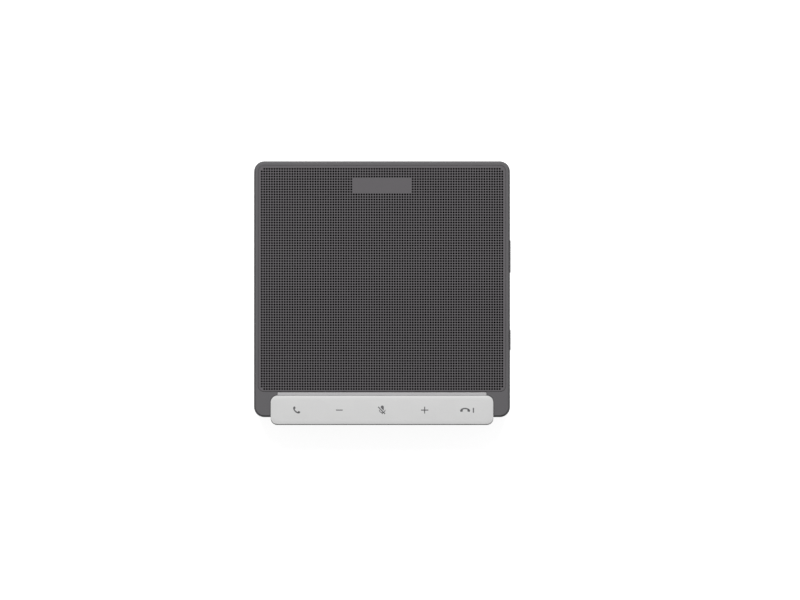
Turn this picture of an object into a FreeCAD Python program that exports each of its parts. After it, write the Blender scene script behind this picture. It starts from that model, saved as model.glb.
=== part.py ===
# Conference microphone: a square desk speakerphone with a perforated steel top and a
# silver bar of five keys along its front edge. Millimetres, +X right, +Y back, +Z up.
# The origin is the middle of the foot's underside, which rests on the table.
import FreeCAD, Part
import math
import os
from types import SimpleNamespace

import Sketcher

V = FreeCAD.Vector

# Driving dimensions: alias, millimetres, meaning
DIMENSIONS = (
    # Casing
    ("body_width", 100.0, "casing across, X"),
    ("body_depth", 100.0, "casing from front to back, Y"),
    ("body_corner", 4.0, "corner radius of the casing in plan"),
    ("wall", 2.0, "side wall of both casing halves"),
    ("base_height", 5.5, "base cover, underside to parting line"),
    ("base_floor", 2.0, "floor of the base cover"),
    ("base_bevel", 3.0, "bevel of the lower outer edge"),
    ("housing_height", 17.5, "upper housing, parting line to deck"),
    ("plate", 2.0, "top plate under the grille"),
    ("deck_bevel", 0.75, "bevel of the upper outer edge"),
    ("tongue", 1.0, "thickness of the tongue on the base cover's rim"),
    ("tongue_height", 1.2, "height of that tongue"),
    ("fit", 0.1, "gap round pieces that drop into a seat"),
    # Foot
    ("foot_inset", 6.0, "casing's edge to the rubber foot"),
    ("foot_corner", 6.0, "corner radius of the foot"),
    ("foot_thickness", 1.8, "rubber foot"),
    ("foot_recess", 0.8, "depth of its seat in the base cover"),
    ("groove_inset", 6.0, "foot edge to its grip groove"),
    ("groove_width", 1.2, "grip groove"),
    ("groove_depth", 0.5, "grip groove"),
    # Casing screws and their bosses
    ("pillar", 7.0, "diameter of the screw pillars and bosses"),
    ("pillar_front_x", 35.0, "front pillars, left and right of the middle"),
    ("pillar_back_x", 38.0, "back pillars, left and right of the middle"),
    ("pillar_front", 17.0, "casing's front to the front pillars"),
    ("pillar_back", 12.0, "casing's back to the back pillars"),
    ("boss_height", 5.0, "bosses over the base floor"),
    ("boss_web", 3.0, "plastic between a screw head and the boss top"),
    ("base_screw", 2.5, "casing screw, shank"),
    ("base_screw_head", 4.6, "casing screw, head diameter"),
    ("base_screw_cap", 1.6, "casing screw, head height"),
    ("base_screw_length", 10.0, "casing screw under its head"),
    ("head_gap", 0.3, "gap round a sunk screw head"),
    # Grille
    ("rim", 1.65, "casing edge to the perforated sheet"),
    ("sheet_front", 10.0, "casing's front to the sheet's front edge"),
    ("sheet", 0.6, "perforated steel sheet"),
    ("sheet_corner", 2.3, "corner radius of the sheet"),
    ("cloth", 0.4, "acoustic cloth under the sheet"),
    ("hole_pitch", 1.0, "pitch of the perforation"),
    ("hole", 0.64, "hole of the perforation"),
    ("field_margin", 1.03, "sheet edge to the outermost holes"),
    ("gap_pitch", 9.0, "pitch of the gaps that stand for the holes"),
    ("pad_width", 23.0, "unperforated rectangle, across"),
    ("pad_depth", 6.0, "unperforated rectangle, front to back"),
    ("pad_back", 4.85, "sheet's back edge to that rectangle"),
    # Key bar
    ("bar_inset", 6.5, "casing's side to the key bar's end"),
    ("bar_depth", 11.55, "key bar from front to back"),
    ("bar_overhang", 3.05, "key bar past the casing's front"),
    ("bar_corner", 2.6, "corner radius of the bar"),
    ("bar_sunk", 3.6, "depth of the bar's seat in the deck"),
    ("bar_gap", 0.15, "gap between the bar and its seat"),
    ("carrier_height", 4.0, "rigid carrier of the bar"),
    ("carrier_floor", 1.6, "carrier under the key wells"),
    ("carrier_bevel", 0.3, "bevel round the carrier's upper edge"),
    ("skin", 0.8, "flexible skin of the bar"),
    ("skin_bevel", 0.5, "bevel round the skin's upper edge"),
    ("seat_floor", 2.0, "housing under the bar's seat"),
    ("seat_wall", 1.4, "housing round the bar's seat"),
    # Keys and their switches
    ("key_end", 10.1, "bar's end to the middle of the outermost key"),
    ("key_width", 11.6, "key plate across"),
    ("key_depth", 7.2, "key plate from front to back"),
    ("key_plate", 1.5, "thickness of a key plate"),
    ("key_gap", 0.2, "gap round a key plate"),
    ("stem_width", 3.0, "key stem across"),
    ("stem_depth", 2.4, "key stem, front to back"),
    ("stem_gap", 0.4, "gap round a key stem"),
    ("stem_line", 5.0, "casing's front to the key stems"),
    ("key_travel", 0.25, "travel of every key"),
    ("switch_width", 4.5, "switch body, square"),
    ("switch_height", 1.6, "switch body"),
    ("button", 2.0, "switch button, diameter"),
    ("button_out", 0.9, "switch button over its body"),
    ("button_in", 0.6, "switch button inside its body"),
    ("button_gap", 0.15, "gap round a switch button"),
    # Keypad board and the screws that hold it and the bar
    ("board", 1.2, "thickness of the circuit boards"),
    ("board_drop", 3.8, "bar seat's underside to the keypad board"),
    ("keypad_end", 3.6, "outermost switch to the keypad board's end"),
    ("keypad_front", 2.4, "casing's front to the keypad board"),
    ("keypad_depth", 9.6, "keypad board from front to back"),
    ("bar_screw", 2.0, "bar screw, shank"),
    ("bar_screw_head", 3.4, "bar screw, head diameter"),
    ("bar_screw_cap", 1.0, "bar screw, head height"),
    ("bar_screw_line", 4.5, "casing's front to the bar screws"),
    ("bar_screw_bite", 2.4, "bar screw inside the carrier"),
    ("spacer", 4.4, "diameter of the spacers over the board"),
    # Light guide
    ("light_inset", 2.7, "bar's end to the light guide's end"),
    ("light_width", 1.2, "light guide from front to back"),
    ("light_proud", 0.1, "light guide over the deck"),
    ("light_leg", 3.0, "leg of the light guide across"),
    ("lamp_width", 2.0, "lamp across"),
    ("lamp_height", 0.8, "lamp over the board"),
    # Side keys
    ("side_level", 13.0, "side keys over the table"),
    ("side_height", 4.0, "side key, up and down"),
    ("side_proud", 0.31, "side key past the casing"),
    ("side_bevel", 0.22, "bevel round a side key's face"),
    ("side_corner", 0.8, "clipped corners of a side key"),
    ("side_gap", 0.15, "gap round a side key"),
    ("flange", 1.0, "flange of a side key, thickness and width"),
    ("power_length", 12.8, "power key, front to back"),
    ("power_middle", 12.8, "power key, behind the middle"),
    ("pairing_length", 8.2, "pairing key, front to back"),
    ("pairing_middle", -19.9, "pairing key, behind the middle"),
    ("side_stem", 2.0, "side key's stem under its flange"),
    ("side_board_front", 3.0, "side board's front end to the pairing key"),
    ("side_board_back", 3.8, "power key to the side board's back end"),
    ("side_board_top", 17.8, "side board's upper edge"),
    ("guide_wall", 1.6, "card guides of the side board"),
    ("guide_grip", 2.0, "how far a card guide holds the board"),
    ("guide_height", 7.0, "card guides over the floor"),
    # Loudspeaker
    ("speaker_middle", 3.0, "loudspeaker, behind the middle"),
    ("speaker_width", 52.0, "flange of the basket, square"),
    ("speaker_corner", 3.0, "clipped corners of the flange"),
    ("speaker_drop", 2.6, "top plate to the flange"),
    ("speaker_screw_inset", 3.0, "flange's edges to its screws"),
    ("speaker_post", 5.0, "diameter of the speaker posts"),
    ("basket_steel", 0.8, "basket sheet"),
    ("basket_depth", 7.8, "basket, flange top to its underside"),
    ("basket_opening", 44.0, "opening of the flange, diameter"),
    ("basket_leg", 12.0, "legs of the basket, width"),
    ("basket_slant", 1.2, "sloped leg, measured level"),
    ("basket_seat", 30.0, "middle plate of the basket, square"),
    ("basket_bore", 22.4, "bore of the middle plate, and of the yoke"),
    ("step", 1.6, "raised frame under the spider"),
    ("step_wall", 2.0, "width of that frame"),
    ("yoke", 26.4, "yoke cup, diameter"),
    ("yoke_height", 7.0, "yoke cup"),
    ("yoke_floor", 2.0, "floor of the yoke cup"),
    ("magnet", 18.0, "magnet, diameter"),
    ("pole", 18.4, "pole plate, diameter"),
    ("pole_height", 2.0, "pole plate"),
    ("coil", 20.6, "voice coil, outer diameter"),
    ("coil_wall", 0.7, "voice coil"),
    ("coil_dip", 0.5, "voice coil under the pole plate"),
    ("diaphragm", 38.0, "flat diaphragm, diameter"),
    ("diaphragm_height", 0.8, "flat diaphragm"),
    ("surround_lip", 1.0, "glued lips of the surround"),
    ("surround", 0.4, "surround"),
    ("spider", 0.3, "spider"),
    ("gasket_wall", 2.0, "foam gasket"),
    ("foam_width", 16.0, "foam pad under the motor, square"),
    ("speaker_screw", 2.0, "speaker screw, shank"),
    ("speaker_screw_head", 3.4, "speaker screw, head diameter"),
    ("speaker_screw_cap", 1.0, "speaker screw, head height"),
    ("speaker_screw_length", 3.0, "speaker screw under its head"),
    ("guard_radius", 22.5, "slots of the speaker guard, round the cone's middle"),
    ("guard_slot", 7.0, "slots of the speaker guard"),
    ("guard_pitch", 9.0, "slot to slot"),
    # Microphones
    ("microphone_x", 24.0, "microphones, left and right of the middle"),
    ("microphone_front", 17.0, "casing's front to the front microphones"),
    ("microphone_back", 8.0, "casing's back to the back microphones"),
    ("boot_width", 7.0, "rubber boot across"),
    ("boot_depth", 6.0, "rubber boot, front to back"),
    ("boot_height", 3.4, "rubber boot"),
    ("boot_wall", 1.5, "rubber boot round the capsule"),
    ("boot_pocket", 1.3, "pocket of the boot"),
    ("sound_port", 1.4, "sound port, square"),
    ("collar_wall", 1.1, "collar round a boot"),
    ("microphone_board", 0.8, "microphone board"),
    ("capsule_width", 3.4, "microphone capsule across"),
    ("capsule_depth", 2.6, "microphone capsule, front to back"),
    ("capsule_height", 1.0, "microphone capsule"),
    # Main board
    ("main_half", 33.0, "main board, middle to end"),
    ("main_gap", 4.0, "basket's middle plate to the main board"),
    ("main_back", 4.0, "casing's back to the main board"),
    ("standoff", 5.2, "standoffs of the main board"),
    ("standoff_width", 4.8, "diameter of a standoff"),
    ("standoff_inset", 4.0, "board edge to a standoff's middle"),
    ("standoff_front", 20.0, "front standoffs, left and right of the middle"),
    ("board_screw", 2.0, "board screw, shank"),
    ("board_screw_head", 3.6, "board screw, head diameter"),
    ("board_screw_cap", 1.2, "board screw, head height"),
    ("board_screw_length", 4.6, "board screw under its head"),
    ("chip", 0.9, "height of the chips"),
    ("processor", 9.0, "processor, square"),
    ("processor_x", 12.0, "processor, left of the middle"),
    ("charger", 4.0, "charging chip, square"),
    ("charger_x", 25.0, "charging chip, left of the middle"),
    ("can_width", 15.0, "shield can across"),
    ("can_depth", 11.0, "shield can, front to back"),
    ("can_x", 12.0, "shield can, right of the middle"),
    ("can_height", 1.8, "shield can"),
    ("connector_height", 1.6, "wire connectors"),
    ("connector_depth", 3.4, "wire connectors, front to back"),
    ("connector_width", 7.2, "wire connectors across"),
    ("connector_pitch", 10.0, "connector to connector"),
    ("ribbon_inset", 5.0, "main board's end to the ribbon's middle"),
    # Socket for the cable
    ("socket_width", 8.94, "socket shell across"),
    ("socket_height", 3.26, "socket shell, up and down"),
    ("socket_corner", 1.4, "corner radius of the shell"),
    ("socket_sheet", 0.3, "socket shell"),
    ("socket_depth", 7.0, "socket shell, front to back"),
    ("socket_sunk", 0.4, "shell mouth behind the casing's face"),
    ("socket_gap", 0.2, "gap between the shell and the casing"),
    ("tongue_width", 6.7, "contact tongue across"),
    ("tongue_sheet", 0.7, "contact tongue"),
    ("tongue_reach", 5.0, "contact tongue"),
    # Battery
    ("battery_width", 60.0, "battery across"),
    ("battery_front", 4.5, "casing's front to the battery"),
    ("battery_depth", 21.0, "battery from front to back"),
    ("battery_height", 8.0, "battery"),
    ("tape_inset", 2.0, "battery's edge to the tape"),
    ("tape", 0.5, "foam tape under the battery"),
    ("fence", 1.2, "ribs beside the battery"),
    ("fence_height", 4.0, "ribs beside the battery"),
    # Ribbon between the boards
    ("ribbon", 0.3, "thickness of the ribbon"),
    ("ribbon_width", 6.0, "ribbon across"),
    ("ribbon_lap", 4.0, "ribbon under the keypad board"),
    ("ribbon_drop", 12.0, "where it starts to fall, ahead of the main board"),
    ("ribbon_landing", 4.0, "where it is level again, ahead of the main board"),
)

# Longer than anything here, for boxes that pick edges
FAR = 1e3

doc = FreeCAD.newDocument("conference_microphone")
sheet = doc.addObject("Spreadsheet::Sheet", "sizes")
parts = []


class Size:
    """A length with the formula that gives it, so that code and document share one value."""

    def __init__(self, formula, number):
        self.formula = formula
        self.number = number

    def __add__(self, other):
        other = sized(other)
        return Size(f"({self.formula} + {other.formula})", self.number + other.number)

    def __sub__(self, other):
        other = sized(other)
        return Size(f"({self.formula} - {other.formula})", self.number - other.number)

    def __mul__(self, other):
        other = sized(other)
        return Size(f"({self.formula} * {other.formula})", self.number * other.number)

    def __truediv__(self, other):
        other = sized(other)
        return Size(f"({self.formula} / {other.formula})", self.number / other.number)

    def __neg__(self):
        return Size(f"(-{self.formula})", -self.number)

    def __radd__(self, other):
        return sized(other) + self

    def __rsub__(self, other):
        return sized(other) - self

    __rmul__ = __mul__


def sized(value):
    """The value as a Size: a plain number is its own formula."""
    return value if isinstance(value, Size) else Size(f"{value:.6f}", float(value))


def read_sheet():
    """Write the driving dimensions into the sheet and return them by name."""
    found = SimpleNamespace()
    for row, (alias, number, meaning) in enumerate(DIMENSIONS, 1):
        sheet.set(f"A{row}", meaning)
        sheet.set(f"B{row}", str(number))
        sheet.setAlias(f"B{row}", alias)
        setattr(found, alias, Size(f"sizes.{alias}", number))
    return found


def make_body(label):
    """An empty body."""
    body = doc.addObject("PartDesign::Body", "Body")
    body.Label = label
    return body


def make_part(label):
    """An empty body for one whole piece, named after it."""
    body = make_body(label)
    parts.append(body)
    return body


def cut_part(label, blank, tool):
    """One whole piece, cut out of a blank."""
    piece = doc.addObject("Part::Cut", "Cut")
    piece.Label = label
    piece.Base, piece.Tool = blank, tool
    parts.append(piece)


def join(label, *bodies):
    """Bodies fused into one blank."""
    blank = doc.addObject("Part::MultiFuse", "Fusion")
    blank.Label = label
    blank.Shapes = bodies
    blank.Refine = True
    return blank


def origin_feature(body, role):
    return next(f for f in body.Origin.OriginFeatures if f.Role == role)


def sketch(body, plane, level, shapes):
    """A sketch on the body's origin plane XY, XZ or YZ, moved to level along Z, Y or X."""
    drawing = body.newObject("Sketcher::SketchObject", "Sketch")
    drawing.AttachmentSupport = (origin_feature(body, plane + "_Plane"), [""])
    drawing.MapMode = "FlatFace"
    # the XZ plane faces the front, against Y
    offset = -sized(level) if plane == "XZ" else sized(level)
    drawing.setExpression("AttachmentOffset.Base.z", offset.formula)
    for draw in shapes:
        draw(drawing)
    return drawing


def pad(body, start, end, *shapes, plane="XY"):
    """Material from start to end along the plane's axis."""
    feature = body.newObject("PartDesign::Pad", "Pad")
    feature.Profile = sketch(body, plane, end if plane == "XZ" else start, shapes)
    feature.setExpression("Length", (sized(end) - start).formula)
    return feature


def pocket(body, start, end, *shapes, plane="XY"):
    """A cut from start to end along the plane's axis."""
    drawing = sketch(body, plane, start if plane == "XZ" else end, shapes)
    feature = body.newObject("PartDesign::Pocket", "Pocket")
    feature.Profile = drawing
    feature.setExpression("Length", (sized(end) - start).formula)
    return feature


def edges_between(shape, low, high):
    """Names of the edges that lie wholly between two corners of a box."""
    box = FreeCAD.BoundBox(*low, *high)
    box.enlarge(1e-4)
    return [f"Edge{i}" for i, edge in enumerate(shape.Edges, 1) if box.isInside(edge.BoundBox)]


def soften(body, kind, amount, low, high):
    """A Fillet or Chamfer on the body's edges that lie between two corners of a box."""
    doc.recompute()
    base = body.Tip
    feature = body.newObject("PartDesign::" + kind, kind)
    feature.Base = (base, edges_between(base.Shape, low, high))
    name = "Radius" if kind == "Fillet" else "Size"
    feature.setExpression(name, amount.formula)
    return feature


def soften_level(body, kind, amount, level):
    """A Fillet or Chamfer on all of the body's edges that lie flat at one height."""
    z = level.number
    return soften(body, kind, amount, (-FAR, -FAR, z), (FAR, FAR, z))


def tie(drawing, kind, where, value):
    """One dimension of a sketch, held by its formula."""
    value = sized(value)
    index = drawing.addConstraint(Sketcher.Constraint(kind, *where, value.number))
    drawing.setExpression(f"Constraints[{index}]", value.formula)


def tie_point(drawing, edge, end, x, y):
    """A point of a sketch at x, y from its origin."""
    for kind, axis, value in (("DistanceX", -2, sized(x)), ("DistanceY", -1, sized(y))):
        if value.number:
            tie(drawing, kind, (-1, 1, edge, end), value)
        else:
            drawing.addConstraint(Sketcher.Constraint("PointOnObject", edge, end, axis))


def circle(x, y, diameter):
    """Draws a circle."""
    x, y, diameter = sized(x), sized(y), sized(diameter)

    def draw(drawing):
        centre = V(x.number, y.number, 0)
        edge = drawing.addGeometry(Part.Circle(centre, V(0, 0, 1), diameter.number / 2))
        tie_point(drawing, edge, 3, x, y)
        tie(drawing, "Diameter", (edge,), diameter)

    return draw


def outline(*points):
    """Draws a closed outline of straight lines through points (x, y)."""
    points = [(sized(x), sized(y)) for x, y in points]

    def draw(drawing):
        edges = []
        for here, there in zip(points, points[1:] + points[:1]):
            start = V(here[0].number, here[1].number, 0)
            end = V(there[0].number, there[1].number, 0)
            edges.append(drawing.addGeometry(Part.LineSegment(start, end)))
        for edge, following in zip(edges, edges[1:] + edges[:1]):
            drawing.addConstraint(Sketcher.Constraint("Coincident", edge, 2, following, 1))
        for edge, (x, y) in zip(edges, points):
            tie_point(drawing, edge, 1, x, y)

    return draw


def rectangle(left, right, low, high, corner=None):
    """Draws a rectangle, with its corners rounded where a radius is given."""
    if corner is None:
        return outline((left, low), (right, low), (right, high), (left, high))
    left, right, low, high, corner = (sized(n) for n in (left, right, low, high, corner))

    def draw(drawing):
        x0, x1, y0, y1, r = (n.number for n in (left, right, low, high, corner))
        sides = (
            ((x0 + r, y0), (x1 - r, y0)),
            ((x1, y0 + r), (x1, y1 - r)),
            ((x1 - r, y1), (x0 + r, y1)),
            ((x0, y1 - r), (x0, y0 + r)),
        )
        centres = ((x1 - r, y0 + r), (x1 - r, y1 - r), (x0 + r, y1 - r), (x0 + r, y0 + r))
        edges = []
        for i, ((start, end), middle) in enumerate(zip(sides, centres)):
            edges.append(drawing.addGeometry(Part.LineSegment(V(*start), V(*end))))
            turned = (i - 1) * math.pi / 2
            whole = Part.Circle(V(*middle), V(0, 0, 1), r)
            arc = Part.ArcOfCircle(whole, turned, turned + math.pi / 2)
            edges.append(drawing.addGeometry(arc))
        for edge, following in zip(edges, edges[1:] + edges[:1]):
            drawing.addConstraint(Sketcher.Constraint("Tangent", edge, 2, following, 1))
        for edge, kind in zip(edges[::2], ("Horizontal", "Vertical") * 2):
            drawing.addConstraint(Sketcher.Constraint(kind, edge))
        for edge in edges[3::2]:
            drawing.addConstraint(Sketcher.Constraint("Equal", edges[1], edge))
        tie(drawing, "Radius", (edges[1],), corner)
        tie(drawing, "DistanceY", (-1, 1, edges[0], 1), low)
        tie(drawing, "DistanceX", (-1, 1, edges[2], 1), right)
        tie(drawing, "DistanceY", (-1, 1, edges[4], 1), high)
        tie(drawing, "DistanceX", (-1, 1, edges[6], 1), left)

    return draw


def centred(x, y, width, depth, corner=None):
    """Draws a rectangle about its middle."""
    return rectangle(x - width / 2, x + width / 2, y - depth / 2, y + depth / 2, corner)


def clipped(x, y, width, depth, cut):
    """Draws a rectangle about its middle, with its corners cut off."""
    right, back = width / 2, depth / 2
    corners = (
        (right - cut, back), (right, back - cut), (right, cut - back), (right - cut, -back),
        (cut - right, -back), (-right, cut - back), (-right, back - cut), (cut - right, back),
    )
    return outline(*((x + across, y + along) for across, along in reversed(corners)))


def casing_line(inset=0, corner=None):
    """Draws the casing's outline, or the line that runs inset inside it, with a corner radius
    of its own where one is given, and square corners where that is 0."""
    right, back = side_x - inset, back_y - inset
    if corner is None:
        corner = s.body_corner - inset
    return rectangle(-right, right, -back, back, corner or None)


def polygon(x, y, across, sides):
    """Draws a regular polygon, measured across its flats."""
    corner = across / (2 * math.cos(math.pi / sides))
    turns = [math.pi * (2 * i + 1) / sides for i in range(sides)]
    return outline(*((x + corner * math.cos(turn), y + corner * math.sin(turn)) for turn in turns))


def pins(body, start, end, places, across, plane="XY"):
    """An eight-sided post at each place: many small posts, screws and bores are alike."""
    for x, y in places:
        pad(body, start, end, polygon(x, y, across, 8), plane=plane)


def root(size):
    """Square root of a Size."""
    return Size(f"sqrt({size.formula})", math.sqrt(size.number))


def move(body, **axes):
    """Shift a finished piece along the given axes."""
    for axis, distance in axes.items():
        body.setExpression(f"Placement.Base.{axis}", sized(distance).formula)


s = read_sheet()
doc.recompute()

# Levels over the table, and lines in plan, that more than one piece uses
base_under = s.foot_thickness - s.foot_recess
floor_top = base_under + s.base_floor
seam = base_under + s.base_height
deck = seam + s.housing_height
plate_top = deck - s.sheet - s.cloth
plate_under = plate_top - s.plate
boss_top = floor_top + s.boss_height
seat_top = deck - s.bar_sunk
seat_under = seat_top - s.seat_floor
carrier_top = seat_top + s.carrier_height
key_under = carrier_top - s.key_plate
keypad_top = seat_under - s.board_drop
keypad_under = keypad_top - s.board
switch_top = keypad_top + s.switch_height
button_top = switch_top + s.button_out
main_under = floor_top + s.standoff
main_top = main_under + s.board
socket_level = main_top + s.socket_height / 2
side_x = s.body_width / 2
back_y = s.body_depth / 2
front_y = -back_y
bar_x = side_x - s.bar_inset
bar_front = front_y - s.bar_overhang
bar_back = bar_front + s.bar_depth
bar_middle = (bar_front + bar_back) / 2
light_x = bar_x - s.light_inset
stem_y = front_y + s.stem_line
keypad_front = front_y + s.keypad_front
keypad_back = keypad_front + s.keypad_depth
sheet_x = side_x - s.rim
sheet_front = front_y + s.sheet_front
sheet_back = back_y - s.rim
grille_front = sheet_front - s.fit
main_front = s.speaker_middle + s.basket_seat / 2 + s.main_gap
main_back = back_y - s.main_back
battery_front = front_y + s.battery_front
battery_back = battery_front + s.battery_depth

# Places in plan where several pieces meet
pillars = [
    (-s.pillar_front_x, front_y + s.pillar_front),
    (s.pillar_front_x, front_y + s.pillar_front),
    (-s.pillar_back_x, back_y - s.pillar_back),
    (s.pillar_back_x, back_y - s.pillar_back),
]
microphones = [
    (x, y)
    for x in (-s.microphone_x, s.microphone_x)
    for y in (front_y + s.microphone_front, back_y - s.microphone_back)
]
KEYS = ("answer", "volume_down", "mute", "volume_up", "end_call")
first_key = s.key_end - bar_x
key_pitch = -2 * first_key / (len(KEYS) - 1)
key_places = [first_key + key_pitch * i for i in range(len(KEYS))]
bar_screws = [
    ((left + right) / 2, front_y + s.bar_screw_line)
    for left, right in zip(key_places, key_places[1:])
]
board_corner = s.main_half - s.standoff_inset
board_screws = [
    (-s.standoff_front, main_front + s.standoff_inset),
    (s.standoff_front, main_front + s.standoff_inset),
    (-board_corner, main_back - s.standoff_inset),
    (board_corner, main_back - s.standoff_inset),
]
ribbon_middle = s.main_half - s.ribbon_inset
connector_places = [-s.connector_pitch, sized(0), s.connector_pitch, ribbon_middle]
side_keys = {
    "power": (s.power_middle, s.power_length),
    "pairing": (s.pairing_middle, s.pairing_length),
}

# Loudspeaker levels, and its screws from its own middle
flange_top = plate_under - s.speaker_drop
flange_under = flange_top - s.basket_steel
basket_under = flange_top - s.basket_depth
spider_seat = basket_under + s.basket_steel + s.step
yoke_under = basket_under - s.yoke_height
pole_under = basket_under - s.pole_height
diaphragm_under = flange_top - s.diaphragm_height
lip_line = s.basket_opening + 2 * s.surround_lip
gasket_inside = lip_line + 2 * s.fit
screw_line = s.speaker_width / 2 - s.speaker_screw_inset
speaker_screws = [(x, y) for x in (-screw_line, screw_line) for y in (-screw_line, screw_line)]
speaker_posts = [(x, y + s.speaker_middle) for x, y in speaker_screws]

# Side keys, from the casing's wall inwards
wall_inside = side_x - s.wall
side_flange_back = wall_inside - s.fit - s.flange
side_button_end = side_flange_back - s.side_stem
side_switch_face = side_button_end - s.button_out
side_board_face = side_switch_face - s.switch_height
side_board_back_face = side_board_face - s.board
side_board_front = s.pairing_middle - s.pairing_length / 2 - s.side_board_front
side_board_back = s.power_middle + s.power_length / 2 + s.side_board_back


def make_foot():
    """Moulded rubber mat, stuck into its recess so that it hides the casing screws."""
    foot = make_part("foot_pad")
    pad(foot, 0, s.foot_thickness, casing_line(s.foot_inset, s.foot_corner))
    outside = s.foot_inset + s.groove_inset
    groove = casing_line(outside, 0), casing_line(outside + s.groove_width, 0)
    pocket(foot, 0, s.groove_depth, *groove)


def make_base_cover():
    """Lower casing half: a tray with a tongue round its rim, screw bosses, posts and ribs."""
    tray = make_body("base tray")
    pad(tray, base_under, seam, casing_line())
    soften_level(tray, "Chamfer", s.base_bevel, base_under)
    pocket(tray, floor_top, seam, casing_line(s.wall))
    pad(tray, seam, seam + s.tongue_height, casing_line(s.wall - s.tongue), casing_line(s.wall))
    recess = casing_line(s.foot_inset - s.fit, s.foot_corner + s.fit)
    pocket(tray, base_under, s.foot_thickness, recess)
    raised = make_body("base posts and ribs")
    pins(raised, floor_top, boss_top, pillars, s.pillar)
    pins(raised, floor_top, main_under, board_screws, s.standoff_width)
    add_battery_fences(raised)
    guide_top = floor_top + s.guide_height
    left, right = side_board_back_face - s.fit, side_board_face + s.fit
    front, back = side_board_front, side_board_back
    for low, high in (
        (front - s.guide_wall, front + s.guide_grip),
        (back - s.guide_grip, back + s.guide_wall),
    ):
        guide = rectangle(left - s.guide_wall, right + s.guide_wall, low, high)
        pad(raised, floor_top, guide_top, guide)
    holes = make_body("base holes")
    head_seat = boss_top - s.boss_web
    pins(holes, base_under, head_seat, pillars, s.base_screw_head + 2 * s.head_gap)
    pins(holes, head_seat, boss_top, pillars, s.base_screw + 2 * s.fit)
    depth = s.board_screw_length - s.board + s.fit
    pins(holes, main_under - depth, main_under, board_screws, s.board_screw + s.fit)
    pad(holes, floor_top, guide_top, rectangle(left, right, front - s.fit, back + s.fit))
    cut_part("base_cover", join("base blank", tray, raised), holes)


def add_battery_fences(body):
    """Two ribs that hold the battery sideways."""
    inside = s.battery_width / 2 + s.fit
    front, back = battery_front + s.tape_inset, battery_back - s.tape_inset
    for left in (-inside - s.fence, inside):
        pad(body, floor_top, floor_top + s.fence_height, rectangle(left, left + s.fence, front, back))


def make_upper_housing():
    """Upper casing half: a lid with the recess of the grille and the seat of the bar, the
    mountings under it, and the holes through both."""
    lid = make_body("housing lid")
    pad(lid, seam, deck, casing_line())
    soften_level(lid, "Chamfer", s.deck_bevel, deck)
    pocket(lid, seam, plate_under, casing_line(s.wall))
    rebate = casing_line(s.wall - s.tongue - s.fit)
    pocket(lid, seam, seam + s.tongue_height + s.fit, rebate)
    right = sheet_x + s.fit
    recess = rectangle(-right, right, grille_front, sheet_back + s.fit, s.sheet_corner + s.fit)
    pocket(lid, plate_top, deck, recess)
    cut_bar_seat(lid)
    mountings = make_body("housing mountings")
    pins(mountings, boss_top, plate_under, pillars, s.pillar)
    pins(mountings, keypad_top, seat_under, bar_screws, s.spacer)
    pins(mountings, flange_top, plate_under, speaker_posts, s.speaker_post)
    collar_under = plate_under - s.boot_height - s.microphone_board
    width, depth = s.boot_width + 2 * s.fit, s.boot_depth + 2 * s.fit
    grown = 2 * s.collar_wall
    for x, y in microphones:
        outside = centred(x, y, width + grown, depth + grown)
        pad(mountings, collar_under, plate_under, outside, centred(x, y, width, depth))
    bores = make_body("screw bores")
    screw_end = boss_top - s.boss_web + s.base_screw_length
    pins(bores, boss_top, screw_end + s.fit, pillars, s.base_screw + s.fit)
    pins(bores, keypad_top, seat_top, bar_screws, s.bar_screw + 2 * s.fit)
    screw_end = flange_under + s.speaker_screw_length
    pins(bores, flange_top, screw_end + s.fit, speaker_posts, s.speaker_screw + s.fit)
    holes = join("housing holes", bores, make_key_holes(), make_sound_holes(), make_wall_holes())
    cut_part("upper_housing", join("housing blank", lid, mountings), holes)


def cut_bar_seat(lid):
    """The open-fronted seat of the bar and its light guide, over a floor of its own."""
    right = bar_x + s.bar_gap
    outside = right + s.seat_wall
    floor = rectangle(-outside, outside, front_y + s.wall, grille_front + s.seat_wall)
    pad(lid, seat_under, plate_under, floor)
    beyond = bar_front - s.bar_depth
    seat = rectangle(-right, right, beyond, bar_back + s.bar_gap, s.bar_corner + s.bar_gap)
    pocket(lid, seat_top, deck, seat)
    light = light_x + s.fit
    pocket(lid, seat_top, deck, rectangle(-light, light, bar_middle, grille_front))


def make_key_holes():
    """Holes for the key stems and for the legs of the light guide."""
    holes = make_body("key holes")
    add_stem_holes(holes, seat_under, seat_top)
    leg = s.light_leg / 2 + s.fit
    for x in key_places:
        slot = rectangle(x - leg, x + leg, bar_back - s.fit, grille_front)
        pad(holes, seat_under, seat_top, slot)
    return holes


def add_stem_holes(body, low, high):
    """A hole with room for each key's stem."""
    width, depth = s.stem_width + 2 * s.stem_gap, s.stem_depth + 2 * s.stem_gap
    for x in key_places:
        pad(body, low, high, centred(x, stem_y, width, depth))


def make_sound_holes():
    """Slots over the loudspeaker's diaphragm, and a port over each microphone."""
    holes = make_body("sound holes")
    half = s.guard_slot / 2
    beside = math.floor(((s.guard_radius - half) / s.guard_pitch).number)
    for i in range(-beside, beside + 1):
        edge = s.guard_pitch * abs(i) + half
        reach = root(s.guard_radius * s.guard_radius - edge * edge)
        slot = centred(s.guard_pitch * i, s.speaker_middle, s.guard_slot, 2 * reach)
        pad(holes, plate_under, plate_top, slot)
    for x, y in microphones:
        pad(holes, plate_under, plate_top, centred(x, y, s.sound_port, s.sound_port))
    return holes


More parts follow.
